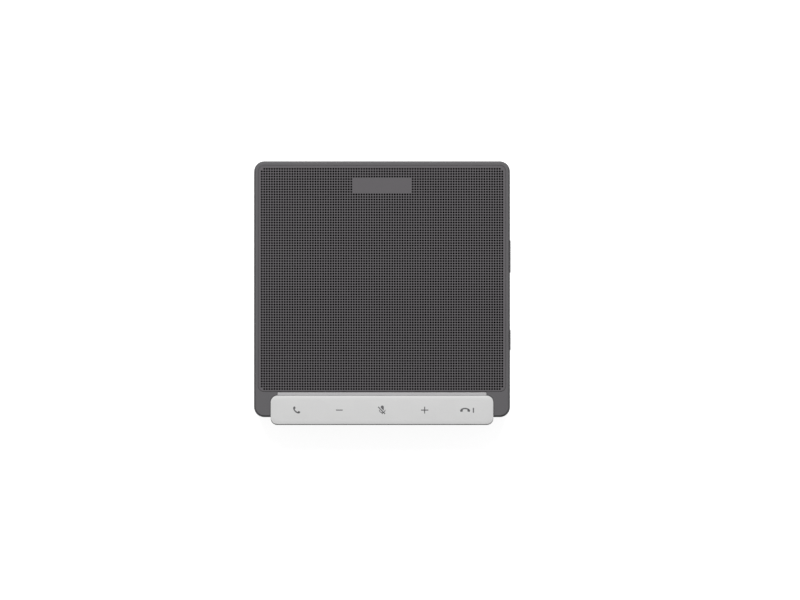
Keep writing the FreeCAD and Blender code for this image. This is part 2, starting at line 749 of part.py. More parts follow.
def make_wall_holes():
    """Windows of the side keys in the right wall, and the port of the socket in the back."""
    holes = make_body("wall holes")
    grown = 2 * s.side_gap
    corner = s.side_corner + s.side_gap
    for y, length in side_keys.values():
        window = clipped(y, s.side_level, length + grown, s.side_height + grown, corner)
        pad(holes, wall_inside, side_x, window, plane="YZ")
    width = s.socket_width + 2 * s.socket_gap
    height = s.socket_height + 2 * s.socket_gap
    port = centred(0, socket_level, width, height, s.socket_corner + s.socket_gap)
    pad(holes, back_y - s.wall, back_y, port, plane="XZ")
    return holes


def make_screws(kind, places, seat, length, up=True):
    """Like screws in one node. Their shanks point up or down from the seat of their heads."""
    shank, head, cap = (getattr(s, kind + part) for part in ("", "_head", "_cap"))
    screws = make_part(kind + "s")
    low, high = (seat, seat + length) if up else (seat - length, seat)
    pins(screws, low, high, places, shank)
    low, high = (seat - cap, seat) if up else (seat, seat + cap)
    pins(screws, low, high, places, head)


def make_grille():
    """Perforated steel sheet over its cloth. One square gap stands for a block of holes, with
    the open share of the real perforation, all round the unperforated rectangle."""
    whole = rectangle(-sheet_x, sheet_x, sheet_front, sheet_back, s.sheet_corner)
    blank = make_body("grille blank")
    pad(blank, deck - s.sheet, deck, whole)
    punch = doc.addObject("Part::Feature", "Punch")
    punch.Shape = grille_gaps()
    cut_part("grille_sheet", blank, punch)
    pad(make_part("grille_cloth"), plate_top, plate_top + s.cloth, whole)


def grille_gaps():
    """Boxes through the sheet in even rows, cut back from the unperforated rectangle."""
    pitch, thick = s.gap_pitch.number, s.sheet.number
    under = (deck - s.sheet).number
    right = (sheet_x - s.field_margin).number
    low = (sheet_front + s.field_margin).number
    high = (sheet_back - s.field_margin).number
    columns, rows = round(2 * right / pitch), round((high - low) / pitch)
    share = (s.hole / s.hole_pitch).number * math.sqrt(math.pi) / 2
    across, along = 2 * right / (columns - 1 + share), (high - low) / (rows - 1 + share)
    boxes = [
        Part.makeBox(across * share, along * share, thick, V(i * across - right, low + j * along, under))
        for i in range(columns)
        for j in range(rows)
    ]
    bare_width, bare_depth = s.pad_width.number, s.pad_depth.number
    corner = V(-bare_width / 2, (sheet_back - s.pad_back).number - bare_depth, under)
    bare = Part.makeBox(bare_width, bare_depth, thick, corner)
    return Part.makeCompound(boxes).cut(bare)


def make_bar():
    """The bar: a rigid carrier with five wells, under one flexible skin without seams."""
    block = make_body("carrier block")
    pad(block, seat_top, carrier_top, rectangle(-bar_x, bar_x, bar_front, bar_back, s.bar_corner))
    soften_level(block, "Chamfer", s.carrier_bevel, carrier_top)
    holes = make_body("carrier holes")
    width, depth = s.key_width + 2 * s.key_gap, s.key_depth + 2 * s.key_gap
    well_floor = seat_top + s.carrier_floor
    add_stem_holes(holes, seat_top, well_floor)
    for x in key_places:
        pad(holes, well_floor, carrier_top, centred(x, bar_middle, width, depth))
    bite = s.bar_screw_bite + s.fit
    pins(holes, seat_top, seat_top + bite, bar_screws, s.bar_screw + s.fit)
    cut_part("bar_carrier", block, holes)
    skin = make_part("bar_skin")
    inset = s.carrier_bevel
    edge, front, back = bar_x - inset, bar_front + inset, bar_back - inset
    skin_line = rectangle(-edge, edge, front, back, s.bar_corner - inset)
    pad(skin, carrier_top, carrier_top + s.skin, skin_line)
    soften_level(skin, "Chamfer", s.skin_bevel, carrier_top + s.skin)


def make_keys():
    """Five key plates under the skin, each with a stem down to its own switch."""
    places = [(x, stem_y) for x in key_places]
    for name, place in zip(KEYS, places):
        key = make_part(name + "_key")
        plate = centred(place[0], bar_middle, s.key_width, s.key_depth)
        pad(key, key_under, carrier_top, plate)
        pad(key, button_top, key_under, centred(*place, s.stem_width, s.stem_depth))
        button = make_part(name + "_switch_button")
        pins(button, switch_top - s.button_in, button_top, [place], s.button)
    make_switches("key_switches", keypad_top, switch_top, places)


def make_switches(label, foot, face, places, plane="XY"):
    """Like push switches in one node, each with a well for its button."""
    cases, wells = make_body(label + " cases"), make_body(label + " wells")
    depth = s.button_in + s.key_travel + s.fit
    for place in places:
        pad(cases, foot, face, centred(*place, s.switch_width, s.switch_width), plane=plane)
    pins(wells, face - depth, face, places, s.button + 2 * s.button_gap, plane)
    cut_part(label, cases, wells)


def make_board(label, under, edge, places, screw):
    """A circuit board with its screw holes."""
    blank, holes = make_body(label + " blank"), make_body(label + " holes")
    pad(blank, under, under + s.board, edge)
    pins(holes, under, under + s.board, places, screw + 2 * s.fit)
    cut_part(label, blank, holes)


def make_keypad_board():
    """Board that carries the key switches and the lamps of the light guide."""
    half = s.keypad_end - first_key
    edge = rectangle(-half, half, keypad_front, keypad_back)
    make_board("keypad_board", keypad_under, edge, bar_screws, s.bar_screw)
    lamps = make_part("lamps")
    middle = bar_back + s.light_width / 2
    for x in key_places:
        lamp = centred(x, middle, s.lamp_width, s.light_width)
        pad(lamps, keypad_top, keypad_top + s.lamp_height, lamp)


def make_light_guide():
    """Clear strip behind the bar, with a leg down to each lamp."""
    guide = make_part("light_guide")
    front, back = bar_back, bar_back + s.light_width
    strip = rectangle(-light_x, light_x, front, back)
    pad(guide, seat_top, deck + s.light_proud, strip)
    leg = s.light_leg / 2
    legs = [rectangle(x - leg, x + leg, front, back) for x in key_places]
    pad(guide, keypad_top + s.lamp_height + s.fit, seat_top, *legs)


def make_side_keys():
    """Power and pairing keys in the right wall, with their switches on a standing board."""
    face = side_x + s.side_proud
    grown = 2 * s.flange
    places = [(y, s.side_level) for y, _ in side_keys.values()]
    for (name, (_, length)), place in zip(side_keys.items(), places):
        key = make_part(name + "_key")
        cap = clipped(*place, length, s.side_height, s.side_corner)
        pad(key, side_flange_back, face, cap, plane="YZ")
        soften(key, "Chamfer", s.side_bevel, (face.number, -FAR, -FAR), (face.number, FAR, FAR))
        flange = centred(*place, length + grown, s.side_height + grown)
        pad(key, side_flange_back, side_flange_back + s.flange, flange, plane="YZ")
        stem = centred(*place, s.stem_width, s.stem_depth)
        pad(key, side_button_end, side_flange_back, stem, plane="YZ")
        button = make_part(name + "_switch_button")
        pins(button, side_switch_face - s.button_in, side_button_end, [place], s.button, "YZ")
    make_switches("side_switches", side_board_face, side_switch_face, places, "YZ")
    edge = rectangle(side_board_front, side_board_back, floor_top, s.side_board_top)
    pad(make_part("side_board"), side_board_back_face, side_board_face, edge, plane="YZ")


def make_speaker():
    """Slim full-range loudspeaker that hangs from the top plate, facing up."""
    first = len(parts)
    make_basket()
    make_motor()
    make_diaphragm()
    gasket = make_part("speaker_gasket")
    outside = gasket_inside + 2 * s.gasket_wall
    frame = polygon(0, 0, outside, 8), polygon(0, 0, gasket_inside, 8)
    pad(gasket, flange_top, plate_under, *frame)
    foam = make_part("speaker_foam")
    pad(foam, floor_top, yoke_under, centred(0, 0, s.foam_width, s.foam_width))
    make_screws("speaker_screw", speaker_screws, flange_under, s.speaker_screw_length)
    for piece in parts[first:]:
        move(piece, y=s.speaker_middle)


def make_basket():
    """Steel basket: a square flange with a round opening, and two crossed straps that dip
    under it to a bored middle plate, whose raised frame carries the spider."""
    frame = make_body("basket frame")
    steel, width = s.basket_steel, s.speaker_width
    flange = clipped(0, 0, width, width, s.speaker_corner)
    pad(frame, flange_under, flange_top, flange, circle(0, 0, s.basket_opening))
    seat, foot = s.basket_seat / 2, s.basket_opening / 2 + steel
    outside = foot + s.basket_slant
    seat_level = basket_under + steel
    strap = outline(
        (-seat, basket_under),
        (seat, basket_under),
        (outside, flange_under),
        (foot, flange_under),
        (seat, seat_level),
        (-seat, seat_level),
        (-foot, flange_under),
        (-outside, flange_under),
    )
    for plane in ("XZ", "YZ"):
        pad(frame, -s.basket_leg / 2, s.basket_leg / 2, strap, plane=plane)
    plate = centred(0, 0, s.basket_seat, s.basket_seat)
    pad(frame, basket_under, seat_level, plate)
    inside = s.basket_seat - 2 * s.step_wall
    pad(frame, seat_level, spider_seat, plate, centred(0, 0, inside, inside))
    holes = make_body("basket holes")
    pad(holes, basket_under, seat_level, circle(0, 0, s.basket_bore))
    pins(holes, flange_under, flange_top, speaker_screws, s.speaker_screw + 2 * s.fit)
    cut_part("speaker_basket", frame, holes)


def make_motor():
    """Steel cup with the magnet in it, and the pole plate on top."""
    yoke = make_part("speaker_yoke")
    pad(yoke, yoke_under, basket_under, circle(0, 0, s.yoke))
    magnet_under = yoke_under + s.yoke_floor
    pocket(yoke, magnet_under, basket_under, circle(0, 0, s.basket_bore))
    pad(make_part("speaker_magnet"), magnet_under, pole_under, circle(0, 0, s.magnet))
    pad(make_part("pole_plate"), pole_under, basket_under, circle(0, 0, s.pole))


def make_diaphragm():
    """Flat diaphragm with its voice coil, and what holds them: surround and spider."""
    coil = make_part("voice_coil")
    # a thin coil of 24 flats, so that its two walls stay light
    coil_line = polygon(0, 0, s.coil, 24)
    coil_bore = polygon(0, 0, s.coil - 2 * s.coil_wall, 24)
    pad(coil, pole_under - s.coil_dip, diaphragm_under, coil_line, coil_bore)
    diaphragm = make_part("diaphragm")
    pad(diaphragm, diaphragm_under, flange_top, circle(0, 0, s.diaphragm))
    surround = make_part("surround")
    ring = polygon(0, 0, lip_line, 8), circle(0, 0, s.diaphragm - 2 * s.surround_lip)
    pad(surround, flange_top, flange_top + s.surround, *ring)
    width = s.basket_seat - s.step_wall
    spider = make_part("spider")
    pad(spider, spider_seat, spider_seat + s.spider, centred(0, 0, width, width), coil_line)


def make_microphones():
    """Four microphones in rubber boots, pressed into collars under the top plate."""
    boot_under = plate_under - s.boot_height
    width, depth = s.boot_width, s.boot_depth
    boots = make_part("microphone_boots")
    boards = make_part("microphone_boards")
    capsules = make_part("microphone_capsules")
    for x, y in microphones:
        block = centred(x, y, width, depth)
        pad(boots, boot_under, plate_under, block, centred(x, y, s.sound_port, s.sound_port))
        room = centred(x, y, width - 2 * s.boot_wall, depth - 2 * s.boot_wall)
        pocket(boots, boot_under, boot_under + s.boot_pocket, room)
        pad(boards, boot_under - s.microphone_board, boot_under, block)
        capsule = centred(x, y, s.capsule_width, s.capsule_depth)
        pad(capsules, boot_under, boot_under + s.capsule_height, capsule)


def make_main_board():
    """Main board on the base cover's standoffs, with what is soldered on it."""
    edge = rectangle(-s.main_half, s.main_half, main_front, main_back)
    make_board("main_board", main_under, edge, board_screws, s.board_screw)
    make_screws("board_screw", board_screws, main_top, s.board_screw_length, up=False)
    middle = (main_front + main_back) / 2
    chips = make_part("board_chips")
    squares = [
        centred(-s.processor_x, middle, s.processor, s.processor),
        centred(-s.charger_x, middle, s.charger, s.charger),
    ]
    pad(chips, main_top, main_top + s.chip, *squares)
    can = centred(s.can_x, middle, s.can_width, s.can_depth)
    pad(make_part("shield_can"), main_top, main_top + s.can_height, can)
    connectors = make_part("board_connectors")
    back = main_front + s.connector_depth
    half = s.connector_width / 2
    plugs = [rectangle(x - half, x + half, main_front, back) for x in connector_places]
    pad(connectors, main_top, main_top + s.connector_height, *plugs)


def make_ribbon():
    """Flat ribbon from the keypad board's underside back to its connector."""
    ribbon = make_part("keypad_ribbon")
    left = ribbon_middle - s.ribbon_width / 2
    start = keypad_back - s.ribbon_lap
    top, thick = keypad_under, s.ribbon
    low = main_top + s.connector_height / 2 - thick / 2
    bend, landing = main_front - s.ribbon_drop, main_front - s.ribbon_landing
    shape = outline(
        (start, top - thick),
        (bend, top - thick),
        (landing, low),
        (main_front, low),
        (main_front, low + thick),
        (landing + thick, low + thick),
        (bend + thick, top),
        (start, top),
    )
    pad(ribbon, left, left + s.ribbon_width, shape, plane="YZ")


def make_socket():
    """Cable socket on the main board: a drawn steel shell round a contact tongue."""
    mouth = back_y - s.socket_sunk
    rear = mouth - s.socket_depth
    width, height, corner = s.socket_width, s.socket_height, s.socket_corner
    sheet_steel = s.socket_sheet
    shell = make_part("socket_shell")
    pad(shell, rear, mouth, centred(0, socket_level, width, height, corner), plane="XZ")
    room = centred(
        0, socket_level, width - 2 * sheet_steel, height - 2 * sheet_steel, corner - sheet_steel
    )
    floor = rear + sheet_steel
    pocket(shell, floor, mouth, room, plane="XZ")
    contact = make_part("socket_tongue")
    blade = centred(0, socket_level, s.tongue_width, s.tongue_sheet)
    pad(contact, floor, floor + s.tongue_reach, blade, plane="XZ")


def make_battery():
    """Flat cell between two fences, held down by foam tape."""
    half, inset = s.battery_width / 2, s.tape_inset
    tape_top = floor_top + s.tape
    strip = rectangle(inset - half, half - inset, battery_front + inset, battery_back - inset)
    pad(make_part("battery_tape"), floor_top, tape_top, strip)
    cell = rectangle(-half, half, battery_front, battery_back)
    pad(make_part("battery"), tape_top, tape_top + s.battery_height, cell)


def check_document():
    """Stop if an object failed, a cut took nothing away, or a piece isn't a sound solid."""
    for thing in doc.Objects:
        if {"Invalid", "Error"} & set(thing.State):
            raise RuntimeError(f"{thing.Label} ({thing.Name}) failed: {thing.State}")
        before = {"PartDesign::Pocket": "BaseFeature", "Part::Cut": "Base"}.get(thing.TypeId)
        if before and not thing.Shape.Volume < getattr(thing, before).Shape.Volume - 1e-6:
            raise RuntimeError(f"{thing.Label} cuts nothing")
    for piece in parts:
        if piece.Shape.isNull() or not piece.Shape.isValid() or not piece.Shape.Solids:
            raise RuntimeError(f"{piece.Label} isn't a sound solid")


make_foot()
make_base_cover()
make_upper_housing()
make_screws("base_screw", pillars, boss_top - s.boss_web, s.base_screw_length)
make_grille()
make_bar()
make_keys()
make_keypad_board()
make_screws("bar_screw", bar_screws, keypad_under, seat_top - keypad_under + s.bar_screw_bite)
make_light_guide()
make_side_keys()
make_speaker()
make_microphones()
make_main_board()
make_ribbon()
make_socket()
make_battery()

doc.recompute()
check_document()
os.makedirs("parts", exist_ok=True)
for piece in parts:
    piece.Shape.exportStep(f"parts/{piece.Label}.step")
print(len(parts), "pieces written")
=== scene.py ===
# Conference microphone: a square desk speakerphone with a perforated steel top and a silver
# bar of five keys along its front edge. Metres, +X right, +Y back, +Z up, as the frame is.
import math

import bmesh
import bpy
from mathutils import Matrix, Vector


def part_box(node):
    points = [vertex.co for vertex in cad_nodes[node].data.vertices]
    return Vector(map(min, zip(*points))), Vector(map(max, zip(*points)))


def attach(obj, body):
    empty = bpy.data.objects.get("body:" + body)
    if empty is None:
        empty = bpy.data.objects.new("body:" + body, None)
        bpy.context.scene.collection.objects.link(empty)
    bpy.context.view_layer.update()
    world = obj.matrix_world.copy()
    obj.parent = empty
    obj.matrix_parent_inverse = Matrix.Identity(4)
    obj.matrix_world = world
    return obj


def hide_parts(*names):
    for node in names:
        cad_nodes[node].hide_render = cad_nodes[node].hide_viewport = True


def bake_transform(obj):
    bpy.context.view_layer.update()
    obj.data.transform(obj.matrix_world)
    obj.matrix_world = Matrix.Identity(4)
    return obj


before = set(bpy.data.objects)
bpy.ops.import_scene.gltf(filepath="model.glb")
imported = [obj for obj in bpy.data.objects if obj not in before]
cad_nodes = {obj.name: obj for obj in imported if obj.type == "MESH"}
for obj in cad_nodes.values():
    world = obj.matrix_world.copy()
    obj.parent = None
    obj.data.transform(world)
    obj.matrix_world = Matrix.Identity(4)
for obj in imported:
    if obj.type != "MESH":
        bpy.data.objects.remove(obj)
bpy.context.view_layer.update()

bpy.ops.object.select_all(action="DESELECT")
bpy.context.scene.view_settings.view_transform = "Standard"


# Studio: a plain table, white to the camera and in reflections, that throws little light back,
# one large soft lamp high up behind, and an even sky. The camera looks straight down through a
# long lens at a point a little to the right and ahead of the middle of the device.
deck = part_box("upper_housing")[1].z
picture_middle, picture_width = (0.00703, -0.00423), 0.3125
lens, sensor = 600.0, 36.0
lamp_place, lamp_width, lamp_power = Vector((-0.02, 0.66, 0.95)), 0.7, 11.4
sky_strength = 0.22
table_radius, table_drop = 3, 2e-5
table_white, thrown_white = 0.86, 0.32
table_glow, camera_glow = 0.18, 0.66

bpy.ops.object.camera_add(location=(*picture_middle, deck + picture_width * lens / sensor))
camera = bpy.context.object
camera.data.lens, camera.data.sensor_width = lens, sensor
bpy.context.scene.camera = camera

bpy.ops.object.light_add(type="AREA", location=lamp_place)
softbox = bpy.context.object
softbox.data.shape, softbox.data.size, softbox.data.energy = "DISK", lamp_width, lamp_power
softbox.rotation_euler = (lamp_place - Vector((0, 0, deck))).to_track_quat("Z", "Y").to_euler()


def combined(tree, operation, *terms):
    """A value that a Math node works out from numbers and other nodes' outputs."""
    node = tree.nodes.new("ShaderNodeMath")
    node.operation = operation
    for socket, term in zip(node.inputs, terms):
        if isinstance(term, float):
            socket.default_value = term
        else:
            tree.links.new(term, socket)
    return node.outputs[0]


def seen_as_background(tree):
    """A value that is 1 for rays from the camera, from gloss and through glass, and else 0."""
    ray = tree.nodes.new("ShaderNodeLightPath").outputs
    direct = combined(tree, "MAXIMUM", ray["Is Camera Ray"], ray["Is Glossy Ray"])
    return combined(tree, "MAXIMUM", direct, ray["Is Transmission Ray"])


world = bpy.data.worlds.new("studio sky")
world.use_nodes = True
bpy.context.scene.world = world
tree = world.node_tree
sky = tree.nodes["Background"]
sky.inputs["Color"].default_value = (1, 1, 1, 1)
level = tree.nodes.new("ShaderNodeMapRange")
level.inputs["To Min"].default_value = sky_strength
level.inputs["To Max"].default_value = 1.0
tree.links.new(seen_as_background(tree), level.inputs["Value"])
tree.links.new(level.outputs["Result"], sky.inputs["Strength"])

bpy.ops.mesh.primitive_circle_add(vertices=96, radius=table_radius, fill_type="NGON",
                                  location=(0, 0, -table_drop))
bpy.ops.object.transform_apply(location=True, rotation=False, scale=False)
table = bpy.context.object
table.name = "table"
table_paint = bpy.data.materials.new("white table")
table_paint.use_nodes = True
tree = table_paint.node_tree
shade = tree.nodes["Principled BSDF"]
shade.inputs["Roughness"].default_value = 0.9
shade.inputs["Specular IOR Level"].default_value = 0.0
shade.inputs["Emission Color"].default_value = (1, 1, 1, 1)
ray = tree.nodes.new("ShaderNodeLightPath").outputs
glow = combined(tree, "MULTIPLY", seen_as_background(tree), table_glow)
glow = combined(tree, "MULTIPLY_ADD", ray["Is Camera Ray"], camera_glow, glow)
tree.links.new(glow, shade.inputs["Emission Strength"])
white = combined(tree, "MULTIPLY_ADD", ray["Is Diffuse Ray"], thrown_white - table_white,
                 table_white)
tree.links.new(white, shade.inputs["Base Color"])
# seen from below, the table isn't there
under, clear, choice = (tree.nodes.new("ShaderNode" + kind) for kind in
                        ("NewGeometry", "BsdfTransparent", "MixShader"))
tree.links.new(under.outputs["Backfacing"], choice.inputs["Fac"])
tree.links.new(shade.outputs["BSDF"], choice.inputs[1])
tree.links.new(clear.outputs["BSDF"], choice.inputs[2])
tree.links.new(choice.outputs["Shader"], tree.nodes["Material Output"].inputs["Surface"])
table.data.materials.append(table_paint)


# Foot: a thin mat of black silicone rubber, moulded with a grip groove all round and stuck into
# its recess in the base, where it hides the casing screws.
foot_low, foot_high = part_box("foot_pad")
foot_corner, foot_edge = 0.006, 0.00015
groove_inset, groove_width, groove_depth = 0.006, 0.0012, 0.0005
cloud_per_metre, cloud_share, grain_relief = 60.0, 0.35, 0.0001
noise_low, noise_high = 0.3, 0.7


def surface_grain():
    """The fine texture of a moulded or painted surface: its colour and roughness vary a little
    from place to place, and its face is slightly uneven. One group for every finish."""
    group = bpy.data.node_groups.new("surface grain", "ShaderNodeTree")
    for name, kind, way in (
        ("Colour", "NodeSocketColor", "INPUT"),
        ("Variation", "NodeSocketFloat", "INPUT"),
        ("Roughness", "NodeSocketFloat", "INPUT"),
        ("Grain per metre", "NodeSocketFloat", "INPUT"),
        ("Grain depth", "NodeSocketFloat", "INPUT"),
        ("Stretch", "NodeSocketVector", "INPUT"),
        ("Colour", "NodeSocketColor", "OUTPUT"),
        ("Roughness", "NodeSocketFloat", "OUTPUT"),
        ("Normal", "NodeSocketVector", "OUTPUT"),
    ):
        group.interface.new_socket(name, in_out=way, socket_type=kind)
    new, link = group.nodes.new, group.links.new
    given, put = new("NodeGroupInput"), new("NodeGroupOutput")
    place = new("ShaderNodeTexCoord")
    stretched = new("ShaderNodeVectorMath")
    stretched.operation = "MULTIPLY"
    link(place.outputs["Object"], stretched.inputs[0])
    link(given.outputs["Stretch"], stretched.inputs[1])
    grain, cloud = new("ShaderNodeTexNoise"), new("ShaderNodeTexNoise")
    for noise, detail in ((grain, 3.0), (cloud, 2.0)):
        noise.inputs["Detail"].default_value = detail
        link(stretched.outputs[0], noise.inputs["Vector"])
    link(given.outputs["Grain per metre"], grain.inputs["Scale"])
    cloud.inputs["Scale"].default_value = cloud_per_metre
    blend = new("ShaderNodeMix")
    blend.inputs["Factor"].default_value = cloud_share
    link(grain.outputs["Fac"], blend.inputs["A"])
    link(cloud.outputs["Fac"], blend.inputs["B"])
    swing = new("ShaderNodeMapRange")
    swing.inputs["From Min"].default_value = noise_low
    swing.inputs["From Max"].default_value = noise_high
    swing.inputs["To Min"].default_value = -1.0
    link(blend.outputs["Result"], swing.inputs["Value"])
    share = combined(group, "MULTIPLY", swing.outputs["Result"], given.outputs["Variation"])
    bright = combined(group, "ADD", 1.0, share)
    tint = new("ShaderNodeVectorMath")
    tint.operation = "SCALE"
    link(given.outputs["Colour"], tint.inputs[0])
    link(bright, tint.inputs["Scale"])
    link(tint.outputs[0], put.inputs["Colour"])
    rough = combined(group, "MULTIPLY", given.outputs["Roughness"], bright)
    link(rough, put.inputs["Roughness"])
    bump = new("ShaderNodeBump")
    bump.inputs["Distance"].default_value = grain_relief
    link(given.outputs["Grain depth"], bump.inputs["Strength"])
    link(grain.outputs["Fac"], bump.inputs["Height"])
    link(bump.outputs["Normal"], put.inputs["Normal"])
    return group


grain_group = surface_grain()


def finish(name, colour, roughness, variation, per_metre, depth, stretch=(1, 1, 1), **plain):
    """A material with the surface grain in it. After its roughness come how much its colour
    varies, its grains per metre and their depth. Plain values go to its shader's sockets."""
    material = bpy.data.materials.new(name)
    material.use_nodes = True
    nodes, links = material.node_tree.nodes, material.node_tree.links
    shader = nodes["Principled BSDF"]
    grain = nodes.new("ShaderNodeGroup")
    grain.node_tree = grain_group
    grain.inputs["Colour"].default_value = (*colour, 1)
    grain.inputs["Variation"].default_value = variation
    grain.inputs["Roughness"].default_value = roughness
    grain.inputs["Grain per metre"].default_value = per_metre
    grain.inputs["Grain depth"].default_value = depth
    grain.inputs["Stretch"].default_value = stretch
    links.new(grain.outputs["Colour"], shader.inputs["Base Color"])
    links.new(grain.outputs["Roughness"], shader.inputs["Roughness"])
    links.new(grain.outputs["Normal"], shader.inputs["Normal"])
    for socket, value in plain.items():
        shader.inputs[socket.replace("_", " ")].default_value = value
    return material


def only(piece):
    """Makes one piece the selected and active one."""
    bpy.ops.object.select_all(action="DESELECT")
    piece.select_set(True)
    bpy.context.view_layer.objects.active = piece


def block(name, low, high):
    """A box between two corners, the start of a piece."""
    bpy.ops.object.select_all(action="DESELECT")
    middle, size = (Vector(low) + Vector(high)) / 2, Vector(high) - Vector(low)
    bpy.ops.mesh.primitive_cube_add(size=1, location=middle, scale=size)
    bpy.ops.object.transform_apply(location=True, rotation=True, scale=True)
    piece = bpy.context.object
    piece.name = piece.data.name = name
    return piece


def pick(kind, wanted, among=lambda _: True):
    """In edit mode, selects points, edges or faces by their middle and direction, which is the
    normal of a point or face and the line along an edge. Among can rule some of them out."""
    bpy.ops.mesh.select_mode(type=kind)
    bpy.ops.mesh.select_all(action="DESELECT")
    mesh = bmesh.from_edit_mesh(bpy.context.object.data)
    for part in {"VERT": mesh.verts, "EDGE": mesh.edges, "FACE": mesh.faces}[kind]:
        if kind == "VERT":
            middle, direction = part.co, part.normal
        elif kind == "EDGE":
            ends = [v.co for v in part.verts]
            middle, direction = (ends[0] + ends[1]) / 2, (ends[1] - ends[0]).normalized()
        else:
            middle, direction = part.calc_center_median(), part.normal
        if among(part) and wanted(middle, direction):
            part.select_set(True)
    mesh.select_flush_mode()
    bmesh.update_edit_mesh(bpy.context.object.data)


def slab(name, low, high, corner, segments):
    """A box between two corners, rounded in plan by a bevel of its upright edges."""
    piece = block(name, low, high)
    bpy.ops.object.mode_set(mode="EDIT")
    pick("EDGE", lambda _, direction: abs(direction.z) > 0.99)
    bpy.ops.mesh.bevel(offset=corner, segments=segments, affect="EDGES")
    bpy.ops.object.mode_set(mode="OBJECT")
    return piece


def smooth(piece):
    """Shades a piece smooth across its curved faces, while its large flat ones stay flat."""
    only(piece)
    bpy.ops.object.shade_smooth_by_angle(angle=math.radians(35))
    normals = piece.modifiers.new("flat faces", "WEIGHTED_NORMAL")
    normals.keep_sharp = True
    bpy.ops.object.modifier_apply(modifier=normals.name)


def rounded(piece, width, segments=2):
    """Rounds the sharp edges with a bevel that is applied, and shades the piece smooth."""
    only(piece)
    bevel = piece.modifiers.new("rounding", "BEVEL")
    bevel.width, bevel.segments, bevel.angle_limit = width, segments, math.radians(30)
    bpy.ops.object.modifier_apply(modifier=bevel.name)
    smooth(piece)


rubber = finish("black silicone rubber", (0.021, 0.021, 0.022), 0.62, 0.12, 2500, 0.25,
                Specular_IOR_Level=0.35)

foot = slab("foot", foot_low, foot_high, foot_corner, 10)
bpy.ops.object.mode_set(mode="EDIT")
outer = foot_high.x - groove_inset
inner = outer - groove_width
for line in (-outer, -inner, inner, outer):
    for across in ((1, 0, 0), (0, 1, 0)):
        pick("FACE", lambda _, normal: normal.z < -0.9)
        bpy.ops.mesh.bisect(plane_co=[line * n for n in across], plane_no=across)
pick("FACE", lambda middle, normal: normal.z < -0.9
     and inner < max(abs(middle.x), abs(middle.y)) < outer)
bpy.ops.mesh.extrude_region_move(TRANSFORM_OT_translate={"value": (0, 0, groove_depth)})
bpy.ops.object.mode_set(mode="OBJECT")
rounded(foot, foot_edge, 3)
foot.data.materials.append(rubber)
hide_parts("foot_pad")
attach(foot, "casing")


# Base cover: the lower half of the casing, moulded in dark grey ABS with a fine spark-eroded
# texture. Every edge of the moulding is slightly rounded, which the frame's own mesh leaves
# sharp, so it is worked from a copy of its node.
casing_edge = 0.00015
near = 1e-6  # points this near are the same
casing_grey = finish("dark grey ABS", (0.141, 0.137, 0.143), 0.55, 0.05, 3500, 0.3,
                     Specular_IOR_Level=0.08)


def copied(piece, name):
    """A copy of a piece with a mesh of its own."""
    copy = piece.copy()
    copy.data = piece.data.copy()
    copy.name = copy.data.name = name
    bpy.context.scene.collection.objects.link(copy)
    return copy


def worked(name, node, material, body="casing"):
    """A copy of a CAD node without its marks, with its triangles merged and its flat faces
    whole, which stands for that node."""
    piece = copied(cad_nodes[node], name)
    for mark in list(piece.keys()):
        del piece[mark]
    piece.parent = None
    only(piece)
    bpy.ops.object.mode_set(mode="EDIT")
    bpy.ops.mesh.select_all(action="SELECT")
    bpy.ops.mesh.remove_doubles(threshold=near)
    bpy.ops.mesh.dissolve_limited(angle_limit=math.radians(0.5))
    bpy.ops.object.mode_set(mode="OBJECT")
    piece.data.materials.clear()
    piece.data.materials.append(material)
    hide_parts(node)
    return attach(piece, body)


def eased(name, node, width, material, segments=2):
    """A worked copy of a CAD node with all its edges rounded."""
    piece = worked(name, node, material)
    rounded(piece, width, segments)
    return piece


eased("base", "base_cover", casing_edge, casing_grey)


# Screws of the casing, bar, loudspeaker and board: zinc-plated steel. Those of the board are
# driven from above, and all the others from below.
zinc = finish("zinc-plated steel", (0.55, 0.56, 0.55), 0.32, 0.08, 3000, 0.08, Metallic=1.0)


def dress(material, *names):
    """Gives nodes that stay as they are in the frame their finish."""
    for name in names:
        cad_nodes[name].data.materials.clear()
        cad_nodes[name].data.materials.append(material)


dress(zinc, "base_screws", "bar_screws", "board_screws", "speaker_screws")


# Battery: a flat lithium cell in silver laminate. A strip of black foam tape holds it down on
# the base, and the strip's pressed edges bulge a little.
laminate = finish("silver cell laminate", (0.46, 0.47, 0.48), 0.35, 0.1, 900, 0.2, Metallic=0.8)
foam = finish("black foam", (0.02, 0.02, 0.021), 0.95, 0.3, 1500, 0.8)
tape_bulge = 0.0002


def foam_pad(name, node, bulge):
    """A pad of foam pressed between two faces, in place of its CAD node."""
    eased(name, node, bulge, foam, segments=3)


dress(laminate, "battery")
foam_pad("battery_pad", "battery_tape", tape_bulge)


# Circuit boards: glass-epoxy under black solder mask. The chips, lamps and switches on them
# are soldered, and the processor's radio part sits under a drawn can.
solder_mask = finish("black solder mask", (0.012, 0.016, 0.014), 0.28, 0.15, 700, 0.1,
                     Coat_Weight=0.3)
chip_black = finish("black epoxy", (0.02, 0.02, 0.022), 0.6, 0.1, 5000, 0.2)
tin = finish("tinned steel can", (0.62, 0.62, 0.6), 0.3, 0.06, 1200, 0.06, Metallic=1.0)
lamp_lens = finish("lamp lens", (0.75, 0.74, 0.66), 0.25, 0.04, 2000, 0.05)
switch_shell = finish("black switch case", (0.03, 0.03, 0.032), 0.5, 0.1, 3000, 0.15)
switch_button = finish("switch button", (0.5, 0.06, 0.05), 0.4, 0.05, 3000, 0.1)
connector_white = finish("natural nylon", (0.66, 0.63, 0.55), 0.45, 0.05, 2500, 0.1)
polyimide = finish("amber ribbon", (0.42, 0.2, 0.045), 0.3, 0.08, 800, 0.08,
                   stretch=(1, 0.05, 1), Coat_Weight=0.3)
dress(solder_mask, "main_board", "keypad_board", "side_board")
